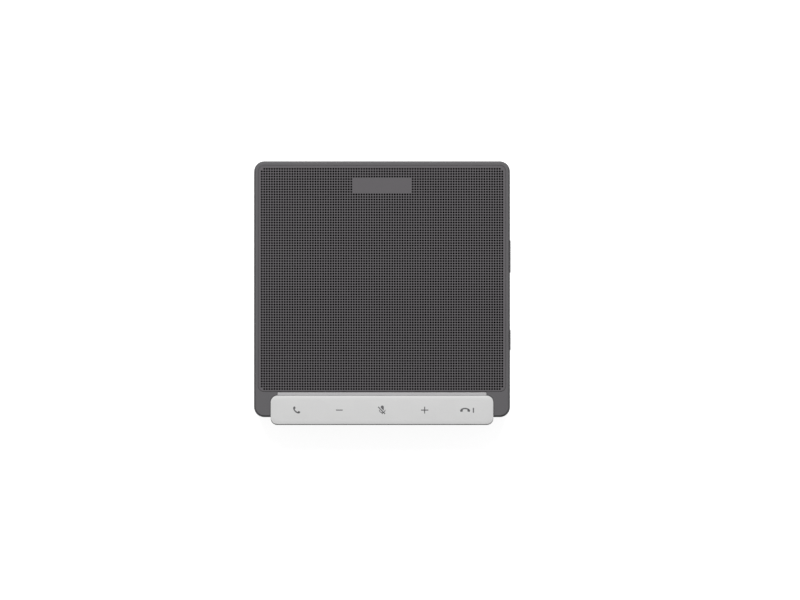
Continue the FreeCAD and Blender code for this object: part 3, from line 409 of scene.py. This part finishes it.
dress(chip_black, "board_chips")
dress(tin, "shield_can")
dress(lamp_lens, "lamps")
dress(switch_shell, "key_switches", "side_switches")
dress(switch_button, *(name for name in cad_nodes if name.endswith("_switch_button")))
dress(connector_white, "board_connectors")
dress(polyimide, "keypad_ribbon")


# Cable socket: a shell drawn from steel and nickel plated, soldered to the main board, with
# a moulded tongue that carries a row of gold-plated contacts on either face.
nickel = finish("nickel plating", (0.52, 0.5, 0.47), 0.28, 0.05, 1500, 0.06,
                stretch=(1, 0.1, 1), Metallic=1.0)
tongue_black = finish("black socket tongue", (0.018, 0.018, 0.019), 0.45, 0.08, 3000, 0.1)
gold = finish("gold-plated contact", (0.8, 0.55, 0.2), 0.25, 0.05, 4000, 0.05, Metallic=1.0)
tongue_low, tongue_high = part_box("socket_tongue")
shell_edge, tongue_edge, contact_edge = 0.00006, 0.00008, 0.00002
contacts, contact_pitch, contact_width, contact_length = 12, 0.0005, 0.00026, 0.0038
contact_proud, contact_setback = 0.00003, 0.0003


def repeated(piece, count, step, merge_within=0.0):
    """Repeats a piece in an even row, and merges the points of neighbours that lie so near."""
    row = piece.modifiers.new("row", "ARRAY")
    row.count, row.use_relative_offset, row.use_constant_offset = count, False, True
    row.constant_offset_displace = step
    row.use_merge_vertices, row.merge_threshold = merge_within > 0, merge_within
    bpy.ops.object.modifier_apply(modifier=row.name)


eased("socket", "socket_shell", shell_edge, nickel)
eased("tongue", "socket_tongue", tongue_edge, tongue_black)
first_contact = -contact_pitch * (contacts - 1) / 2
contacts_back = tongue_high.y - contact_setback
contact_row = block(
    "contacts",
    (first_contact - contact_width / 2, contacts_back - contact_length,
     tongue_low.z - contact_proud),
    (first_contact + contact_width / 2, contacts_back, tongue_high.z + contact_proud),
)
repeated(contact_row, contacts, (contact_pitch, 0, 0))
rounded(contact_row, contact_edge, 1)
contact_row.data.materials.append(gold)
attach(contact_row, "casing")


# Microphones: four pressed cans on small boards, each in a soft rubber boot that is pressed
# into its collar and seals it to the underside of the top plate.
boot_edge = 0.0002
dress(solder_mask, "microphone_boards")
dress(tin, "microphone_capsules")
eased("boots", "microphone_boots", boot_edge, rubber)


# Loudspeaker: a pressed and blackened basket, a plated magnet in a blackened yoke, a copper
# coil and a light paper diaphragm. Its flange is screwed under the top plate with a foam ring
# between, and a foam pad backs its motor.
basket_black = finish("blackened steel", (0.03, 0.03, 0.031), 0.45, 0.08, 2000, 0.1, Metallic=0.6)
magnet_grey = finish("plated magnet", (0.4, 0.4, 0.41), 0.3, 0.06, 2500, 0.06, Metallic=1.0)
copper = finish("copper winding", (0.72, 0.28, 0.12), 0.35, 0.1, 9000, 0.3,
                stretch=(0.05, 0.05, 1), Metallic=1.0)
paper = finish("black cone paper", (0.03, 0.03, 0.032), 0.85, 0.25, 1800, 0.5)
gasket_bulge, motor_pad_bulge = 0.0005, 0.0002
dress(basket_black, "speaker_basket", "speaker_yoke")
dress(magnet_grey, "speaker_magnet", "pole_plate")
dress(copper, "voice_coil")
dress(paper, "diaphragm")
foam_pad("gasket", "speaker_gasket", gasket_bulge)
foam_pad("motor_pad", "speaker_foam", motor_pad_bulge)


# Surround and spider: what lets the diaphragm travel. A rubber half roll is glued round the
# diaphragm, and a woven disc, moulded in waves with resin, round its coil. Both are made in
# equal sectors that meet without a gap, each a piece of its own.
diaphragm_low, diaphragm_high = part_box("diaphragm")
axis = (diaphragm_low + diaphragm_high) / 2
glue, roll_height, wave_height = 0.00002, 0.0011, 0.00025
spin_step = math.radians(7.5)
sliver, weld = 1e-5, 1e-7  # a block used for one of its faces, and points merged by a cut
woven = finish("woven spider cloth", (0.35, 0.2, 0.08), 0.9, 0.2, 1500, 0.8)


def turned(piece, middle, angle):
    """Turns a piece in plan about a point, in its mesh."""
    only(piece)
    piece.location = (-middle[0], -middle[1], 0)
    bpy.ops.object.transform_apply(location=True, rotation=False, scale=False)
    piece.rotation_euler = (0, 0, angle)
    bpy.ops.object.transform_apply(location=False, rotation=True, scale=False)
    piece.location = (middle[0], middle[1], 0)
    bpy.ops.object.transform_apply(location=True, rotation=False, scale=False)


def section(name, middle, inner, outer, bottom, top):
    """The flat upright section of a ring round a point in plan, left in edit mode."""
    piece = block(name, (middle[0] + inner, middle[1] - sliver, bottom),
                  (middle[0] + outer, middle[1], top))
    bpy.ops.object.mode_set(mode="EDIT")
    pick("FACE", lambda _, normal: normal.y < 0.9)
    bpy.ops.mesh.delete(type="FACE")
    return piece


def spun(piece, middle, steps, turn, start):
    """Spins a section in edit mode round its point, merges what meets, leaves edit mode, and
    turns the piece to where it starts."""
    bpy.ops.mesh.select_all(action="SELECT")
    bpy.ops.mesh.spin(steps=steps, angle=turn, center=(middle[0], middle[1], 0),
                      axis=(0, 0, -1))
    bpy.ops.mesh.select_all(action="SELECT")
    bpy.ops.mesh.remove_doubles(threshold=weld)
    bpy.ops.mesh.normals_make_consistent(inside=False)
    bpy.ops.object.mode_set(mode="OBJECT")
    turned(piece, middle, start)


def sliced(piece, point, across, ahead):
    """Cuts a closed piece through a point, at right angles to a direction, closes the cut, and
    keeps what lies ahead of it, or else what lies behind."""
    only(piece)
    bpy.ops.object.mode_set(mode="EDIT")
    bpy.ops.mesh.select_all(action="SELECT")
    bpy.ops.mesh.bisect(plane_co=point, plane_no=across, use_fill=True, clear_inner=ahead,
                        clear_outer=not ahead, threshold=weld)
    bpy.ops.object.mode_set(mode="OBJECT")


def in_sectors(node, material, count, reach, waved, rise, square=None):
    """A flexible ring of a node's thickness round the loudspeaker's axis, from one radius to
    the other of its reach. Its middle rises in a wave or more between the waved radii. One
    that is square in plan is cut at half the square's width."""
    low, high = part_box(node)
    turn = 2 * math.pi / count
    sector = section(node + "_1", axis, reach[0], reach[1], low.z + glue, high.z + glue)
    lines = [waved[0] + (waved[1] - waved[0]) * n / (len(rise) - 1) for n in range(len(rise))]
    for line in lines:
        bpy.ops.mesh.select_all(action="SELECT")
        bpy.ops.mesh.bisect(plane_co=(axis.x + line, 0, 0), plane_no=(1, 0, 0), threshold=weld)
    for line, height in zip(lines, rise):
        pick("VERT", lambda place, _: abs(place.x - axis.x - line) < near)
        bpy.ops.transform.translate(value=(0, 0, height))
    spun(sector, axis, round(turn / spin_step), turn, -turn / 2)
    if square:
        sliced(sector, (axis.x + square, 0, 0), (1, 0, 0), False)
    smooth(sector)
    sector.data.materials.append(material)
    for n in range(count):
        piece = sector
        if n:
            piece = copied(sector, f"{node}_{n + 1}")
            turned(piece, axis, n * turn)
        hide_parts(node)
        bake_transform(piece)


in_sectors("surround", rubber, 12, reach=(0.018, 0.023), waved=(0.019, 0.022),
           rise=[roll_height * math.sin(math.pi * n / 8) for n in range(9)])
in_sectors("spider", woven, 4, reach=(0.01045, 0.0205), waved=(0.0108, 0.0129),
           rise=[wave_height * math.sin(math.pi * n / 2) for n in range(9)],
           square=0.014)


# Upper housing: the upper half of the casing, moulded as the base is. A steep slope goes
# round its deck, and a fine dark gap shows where the two halves meet.
housing_low, housing_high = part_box("upper_housing")
slope_height, edge_drop, shadow_gap = 0.00075, 0.0008, 0.00025
wall_corner, corner_slack = 0.004, 0.0001
close = 1e-5  # a place this close to a line or face is on it


def at_slope_foot(place, _):
    """Whether a point lies on the outer line where the slope round the deck meets the walls."""
    from_corner = (max(abs(side) - housing_high.x + wall_corner, 0) for side in place.xy)
    return (abs(place.z - housing_high.z + slope_height) < close
            and math.hypot(*from_corner) > wall_corner - corner_slack)


housing = worked("housing", "upper_housing", casing_grey)
bpy.ops.object.mode_set(mode="EDIT")
pick("VERT", at_slope_foot)
bpy.ops.transform.translate(value=(0, 0, -edge_drop))
pick("FACE", lambda middle, normal: normal.z < -0.99 and middle.z < housing_low.z + close)
bpy.ops.transform.translate(value=(0, 0, shadow_gap))
bpy.ops.object.mode_set(mode="OBJECT")
rounded(housing, casing_edge)


# Power and pairing keys: moulded in a darker grey than the casing, they stand a little out of
# its right wall through windows. Each has its sign printed in pale ink, a power sign and plain
# radio waves, for which the key's face lies an ink's thickness lower.
mm = 0.001
ink = 0.00002
side_key_edge = 0.0001
sign_width = 0.26 * mm
key_grey = finish("darker grey ABS", (0.075, 0.073, 0.077), 0.5, 0.05, 3500, 0.2,
                  Specular_IOR_Level=0.2)
pale_ink = finish("pale grey printing ink", (0.5, 0.5, 0.5), 0.55, 0.05, 6000, 0.1)


def stroke(low, high, under=0.0):
    """A thin bar of ink between two corners in plan, on a surface at a height."""
    return block("stroke", (*low, under - ink / 4), (*high, under + ink))


def soft_stroke(low, high, corner, under=0.0):
    """A stroke whose corners are rounded in plan."""
    return slab("stroke", (*low, under - ink / 4), (*high, under + ink), corner, 5)


def arc(middle, radius, width, start, turn, under=0.0, steps=12):
    """A curved stroke: its cross-section, spun round the middle."""
    piece = section("arc", middle, radius - width / 2, radius + width / 2, under - ink / 4,
                    under + ink)
    spun(piece, middle, steps, turn, start)
    return piece


def printed(name, key, colour, strokes):
    """Strokes joined into one sign in a colour of ink, that rides on its key."""
    bpy.ops.object.select_all(action="DESELECT")
    for piece in strokes:
        piece.select_set(True)
    bpy.context.view_layer.objects.active = strokes[0]
    if len(strokes) > 1:
        bpy.ops.object.join()
    sign = bpy.context.object
    sign.name = sign.data.name = name
    sign.data.materials.append(colour)
    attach(sign, key)


def stood(strokes, node):
    """Strokes drawn round the origin, stood upright on the middle of a side key's face."""
    low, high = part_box(node)
    for piece in strokes:
        only(piece)
        piece.rotation_euler = (math.pi / 2, 0, math.pi / 2)
        bpy.ops.object.transform_apply(location=False, rotation=True, scale=False)
        piece.location = (high.x - ink, (low.y + high.y) / 2, (low.z + high.z) / 2)
        bpy.ops.object.transform_apply(location=True, rotation=False, scale=False)
    return strokes


for key, node in (("power", "power_key"), ("pairing", "pairing_key")):
    side_key = worked(key, node, key_grey, key)
    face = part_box(node)[1].x
    bpy.ops.object.mode_set(mode="EDIT")
    pick("FACE", lambda middle, normal: normal.x > 0.99 and middle.x > face - close)
    bpy.ops.transform.translate(value=(-ink, 0, 0))
    bpy.ops.object.mode_set(mode="OBJECT")
    rounded(side_key, side_key_edge)

printed("power_sign", "power", pale_ink, stood([
    arc((0, 0), 0.95 * mm, sign_width, math.radians(125), math.radians(290), steps=24),
    stroke((-0.13 * mm, 0.1 * mm), (0.13 * mm, 1.3 * mm)),
], "power_key"))
printed("pairing_sign", "pairing", pale_ink, stood([
    arc((0, -0.9 * mm), 1.0 * mm, sign_width, math.radians(45), math.radians(90)),
    arc((0, -0.9 * mm), 1.75 * mm, sign_width, math.radians(45), math.radians(90)),
    soft_stroke((-0.28 * mm, -1.18 * mm), (0.28 * mm, -0.62 * mm), 0.279 * mm),
], "pairing_key"))


# Light guide: a strip moulded in frosted clear plastic, that lies along the back of the bar. A
# lamp stands under it at each key, and a leg of the strip takes up its light.
frosted = finish("frosted polycarbonate", (0.545, 0.535, 0.545), 0.4, 0.03, 2500, 0.1,
                 Transmission_Weight=0.15, IOR=1.49)
bar_edge = 0.00012
eased("light_strip", "light_guide", bar_edge, frosted)


# Key bar: a rigid carrier moulded in plastic, with a well for each key, held by screws
# from below. It sits in the deck and overhangs the front, and its lower front edge shows under
# the skin. Its colour is a grey much darker than the skin's silver: painted shade, which makes
# that lower front edge read as the dark line of shade along the bar's front. The keys share it.
shade_darkened_plastic = finish("moulded plastic darkened as painted shade", (0.19, 0.19, 0.194), 0.45, 0.04, 3500, 0.15,
                        Metallic=0.2)
keys = ("answer", "volume_down", "mute", "volume_up", "end_call")
eased("carrier", "bar_carrier", bar_edge, shade_darkened_plastic)
dress(shade_darkened_plastic, *(key + "_key" for key in keys))


# Skin of the bar: one flexible sheet over all five keys, printed satin silver, with a rounded
# edge all round. Over each key it stands up by a hair, and there it gives way when pressed. It
# is made in five lengths that meet without a seam, one over each key.
skin_front, skin_back, skin_corner, skin_edge = 0.00004, 0.0001, 0.0026, 0.0001
key_rise, key_play = 0.00003, 0.0002
solid_low, solid_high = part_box("bar_skin")
carrier_low, carrier_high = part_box("bar_carrier")
skin_low = Vector((carrier_low.x, solid_low.y + skin_front, solid_low.z))
plateau = solid_high.z - ink
rim = plateau - key_rise
skin_high = Vector((carrier_high.x, carrier_high.y - skin_back, rim))
key_low, key_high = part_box("answer_key")
well_half = [(key_high[n] - key_low[n]) / 2 + key_play for n in (0, 1)]
well_middle = (key_low.y + key_high.y) / 2
# how far in from the well's edge, and the share of its rise that the skin has there
rises = ((0.0, 0.0), (0.0007, 0.26), (0.0013, 0.74), (0.002, 1.0))
silver_skin = finish("satin silver print", (0.65, 0.65, 0.648), 0.5, 0.02, 5000, 0.06,
                     Metallic=0.15, Specular_IOR_Level=0.3)

skin = slab("skin", skin_low, skin_high, skin_corner, 9)
bpy.ops.object.mode_set(mode="EDIT")
pick("EDGE", lambda middle, _: middle.z > rim - near)
bpy.ops.mesh.bevel(offset=skin_edge, segments=4, affect="EDGES")
bpy.ops.object.mode_set(mode="OBJECT")
middles = [sum(corner.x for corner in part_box(key + "_key")) / 2 for key in keys]
borders = [(a + b) / 2 for a, b in zip(middles, middles[1:])]
borders = [skin_low.x - mm, *borders, skin_high.x + mm]
for key, middle_x, left, right in zip(keys, middles, borders, borders[1:]):
    length = copied(skin, "skin_" + key)
    sliced(length, (left, 0, 0), (1, 0, 0), True)
    sliced(length, (right, 0, 0), (1, 0, 0), False)
    bpy.ops.object.mode_set(mode="EDIT")
    for inset, _ in rises:
        for side in (-1, 1):
            for point, across in (
                ((middle_x + side * (well_half[0] - inset), 0, 0), (1, 0, 0)),
                ((0, well_middle + side * (well_half[1] - inset), 0), (0, 1, 0)),
            ):
                pick("FACE", lambda middle, normal: normal.z > 0.99 and middle.z > rim - near)
                bpy.ops.mesh.bisect(plane_co=point, plane_no=across, threshold=weld)
    for (_, low), (inset, high) in zip(rises, rises[1:]):
        pick("VERT", lambda place, _: place.z > rim - near
             and abs(place.x - middle_x) < well_half[0] - inset + close
             and abs(place.y - well_middle) < well_half[1] - inset + close)
        bpy.ops.transform.translate(value=(0, 0, (high - low) * (plateau - rim)))
    bpy.ops.object.mode_set(mode="OBJECT")
    bpy.ops.object.shade_smooth_by_angle(angle=math.radians(60))
    length.data.materials.append(silver_skin)
    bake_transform(length)
    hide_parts("bar_skin")
bpy.data.objects.remove(skin)


# Symbols: five plain call signs, screen printed on the skin over their keys in dark grey ink:
# handset, minus, microphone struck out, plus, and handset laid down beside a short bar.
dark_ink = finish("dark grey printing ink", (0.105, 0.105, 0.11), 0.55, 0.05, 6000, 0.1)
sign_line, line_half = -47.22 * mm, 0.19 * mm


def on_skin(low, high):
    """A stroke on the skin."""
    return stroke(low, high, plateau)


def handset(apex, angle, size):
    """A telephone receiver bowing upwards from its apex, turned by an angle: a curved grip
    with an ear piece and a mouth piece."""
    x, y = apex
    bow, spread, grip = 2.25 * mm * size, 0.66, 0.52 * mm
    cup_x, cup_y, cup_tilt = 1.24 * mm * size, 0.74 * mm * size, math.radians(14)
    half_x, half_y, cup_corner = 0.44 * mm * size, 0.36 * mm * size, 0.12 * mm
    parts = [arc((x, y - bow), bow, grip, math.pi / 2 - spread, 2 * spread, plateau)]
    for side in (-1, 1):
        middle = (x + side * cup_x, y - cup_y)
        cup = soft_stroke((middle[0] - half_x, middle[1] - half_y),
                          (middle[0] + half_x, middle[1] + half_y), cup_corner, plateau)
        turned(cup, middle, -side * cup_tilt)
        parts.append(cup)
    for part in parts:
        turned(part, apex, angle)
    return parts


printed("answer_sign", "answer", dark_ink,
        handset((-33.84 * mm, -47.68 * mm), math.radians(135), 1.0))
printed("volume_down_sign", "volume_down", dark_ink, [
    on_skin((-18.0 * mm, sign_line - line_half), (-15.35 * mm, sign_line + line_half))])
printed("volume_up_sign", "volume_up", dark_ink, [
    on_skin((15.2 * mm, sign_line - line_half), (18.1 * mm, sign_line + line_half)),
    on_skin((16.46 * mm, sign_line - 1.32 * mm), (16.84 * mm, sign_line + 1.32 * mm))])
printed("end_call_sign", "end_call", dark_ink, handset((32.45 * mm, -46.6 * mm), 0.0, 1.14) + [
    on_skin((35.47 * mm, -48.25 * mm), (35.93 * mm, -46.36 * mm))])

# the microphone is struck out, and the stroke has a clear edge on its upper side
crossing, slope = (-0.15 * mm, -47.35 * mm), math.radians(-46)
across = (-math.sin(slope), math.cos(slope), 0)
upper = soft_stroke((-0.5 * mm, -47.75 * mm), (0.7 * mm, -45.45 * mm), 0.58 * mm, plateau)
lower = copied(upper, "stroke")
for half, offset, above in ((upper, 0.5 * mm, True), (lower, -0.2 * mm, False)):
    point = (crossing[0] + across[0] * offset, crossing[1] + across[1] * offset, 0)
    sliced(half, point, across, above)
slash = on_skin((crossing[0] - 1.95 * mm, crossing[1] - 0.2 * mm),
                (crossing[0] + 1.95 * mm, crossing[1] + 0.2 * mm))
turned(slash, crossing, slope)
cradle = arc((0.1 * mm, -47.15 * mm), 1.12 * mm, 0.3 * mm, math.pi, math.pi, plateau)
stem = on_skin((-0.06 * mm, -48.8 * mm), (0.26 * mm, -48.2 * mm))
printed("mute_sign", "mute", dark_ink, [upper, lower, slash, cradle, stem])


# Acoustic cloth: a thin black open weave, stretched flat over the sound holes and glued under
# the perforated sheet, so that nothing shows through its holes.
cloth_low, cloth_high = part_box("grille_cloth")
sheet_corner, cloth_room = 0.0023, 1e-5
cloth_black = finish("black acoustic cloth", (0.0025, 0.0025, 0.0026), 0.95, 0.3, 7000, 0.8,
                     Specular_IOR_Level=0.0)
cloth = slab("cloth", cloth_low + Vector((cloth_room, cloth_room, 0)),
             cloth_high - Vector((cloth_room, cloth_room, cloth_room)), sheet_corner, 6)
cloth.data.materials.append(cloth_black)
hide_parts("grille_cloth")
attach(cloth, "casing")


# Grille: a sheet of steel, punched with round holes on a square grid, painted dark grey and
# dropped into its recess. A rectangle at the back isn't punched, nor are the four corners.
sheet_low, sheet_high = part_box("grille_sheet")
pitch, hole, hole_sides = 0.001, 0.00075, 8
first_column, columns, first_row, rows = -47, 95, -39, 87
bare_columns, bare_rows = (-11, 11), (38, 43)
rolled_width, rolled_depth = 0.00012, 0.000084
sheet_paint = finish("dark grey painted steel", (0.126, 0.119, 0.126), 0.5, 0.03, 3000, 0.15,
                     Specular_IOR_Level=0.15)

bpy.ops.object.select_all(action="DESELECT")
start = (first_column * pitch, first_row * pitch, sheet_high.z)
bpy.ops.mesh.primitive_plane_add(size=pitch, location=start)
grille = bpy.context.object
bpy.ops.object.transform_apply(location=True, rotation=False, scale=False)
bpy.ops.object.mode_set(mode="EDIT")
bpy.ops.mesh.delete(type="ONLY_FACE")
half_side = math.pi / hole_sides
bpy.ops.mesh.primitive_circle_add(vertices=hole_sides, radius=hole / 2 / math.cos(half_side),
                                  location=start, rotation=(0, 0, half_side))
bpy.ops.mesh.select_all(action="SELECT")
bpy.ops.mesh.bridge_edge_loops()
bpy.ops.mesh.select_all(action="SELECT")
bpy.ops.mesh.normals_make_consistent(inside=False)
bpy.ops.object.mode_set(mode="OBJECT")
# the square round one hole has to face up
if grille.data.polygons[0].normal.z < 0:
    bpy.ops.object.mode_set(mode="EDIT")
    bpy.ops.mesh.flip_normals()
    bpy.ops.object.mode_set(mode="OBJECT")
repeated(grille, columns, (pitch, 0, 0), merge_within=close)
repeated(grille, rows, (0, pitch, 0), merge_within=close)


def unpunched(point, _):
    """Whether a point of the grid lies where the sheet isn't punched."""
    column, row = round(point.x / pitch), round(point.y / pitch)
    corner = (column in (first_column, first_column + columns - 1)
              and row in (first_row, first_row + rows - 1))
    bare = (bare_columns[0] <= column <= bare_columns[1]
            and bare_rows[0] <= row <= bare_rows[1])
    return corner or bare


bare_left, bare_right = ((n + side) * pitch for n, side in zip(bare_columns, (-0.5, 0.5)))
bare_front, bare_back = ((n + side) * pitch for n, side in zip(bare_rows, (-0.5, 0.5)))


def round_bare_rectangle(place, _):
    """Whether a point lies on the outline of the bare rectangle."""
    return (bare_left - close < place.x < bare_right + close
            and bare_front - close < place.y < bare_back + close
            and min(abs(place.x - bare_left), abs(place.x - bare_right),
                    abs(place.y - bare_front), abs(place.y - bare_back)) < close)


bpy.ops.object.mode_set(mode="EDIT")
pick("FACE", unpunched)
bpy.ops.mesh.delete(type="FACE")
pick("EDGE", round_bare_rectangle, among=lambda edge: edge.is_boundary)
bpy.ops.mesh.edge_face_add()
bpy.ops.object.mode_set(mode="OBJECT")


def margin_line(inset, height):
    """The sheet's outline, set in from its edge, as a closed line at a height."""
    line = slab("margin line", (sheet_low.x + inset, sheet_low.y + inset, height - sliver),
                (sheet_high.x - inset, sheet_high.y - inset, height), sheet_corner - inset, 8)
    bpy.ops.object.mode_set(mode="EDIT")
    pick("FACE", lambda _, normal: normal.z < 0.9)
    bpy.ops.mesh.delete(type="FACE")
    bpy.ops.mesh.select_all(action="SELECT")
    bpy.ops.mesh.delete(type="ONLY_FACE")
    bpy.ops.object.mode_set(mode="OBJECT")
    return line


# the margin goes from the grid's edge out to the sheet's outline, where it is rolled down
for inset, height in ((rolled_width, sheet_high.z), (0.0, sheet_high.z - rolled_depth)):
    line = margin_line(inset, height)
    line.select_set(True)
    grille.select_set(True)
    bpy.context.view_layer.objects.active = grille
    bpy.ops.object.join()
    bpy.ops.object.mode_set(mode="EDIT")
    pick("EDGE", lambda *_: True, among=lambda edge: not edge.link_faces
         or edge.is_boundary and edge.calc_length() > hole / 2)
    bpy.ops.mesh.bridge_edge_loops()
    bpy.ops.object.mode_set(mode="OBJECT")
thickness = grille.modifiers.new("thickness", "SOLIDIFY")
thickness.thickness, thickness.offset = sheet_high.z - sheet_low.z, -1
bpy.ops.object.modifier_apply(modifier=thickness.name)
grille.data.materials.append(sheet_paint)

# it is kept in two halves, which meet between two columns of holes
grille.name = grille.data.name = "grille_left"
other_half = copied(grille, "grille_right")
for half, ahead in ((grille, False), (other_half, True)):
    sliced(half, (pitch / 2, 0, 0), (1, 0, 0), ahead)
    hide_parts("grille_sheet")
    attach(half, "casing")
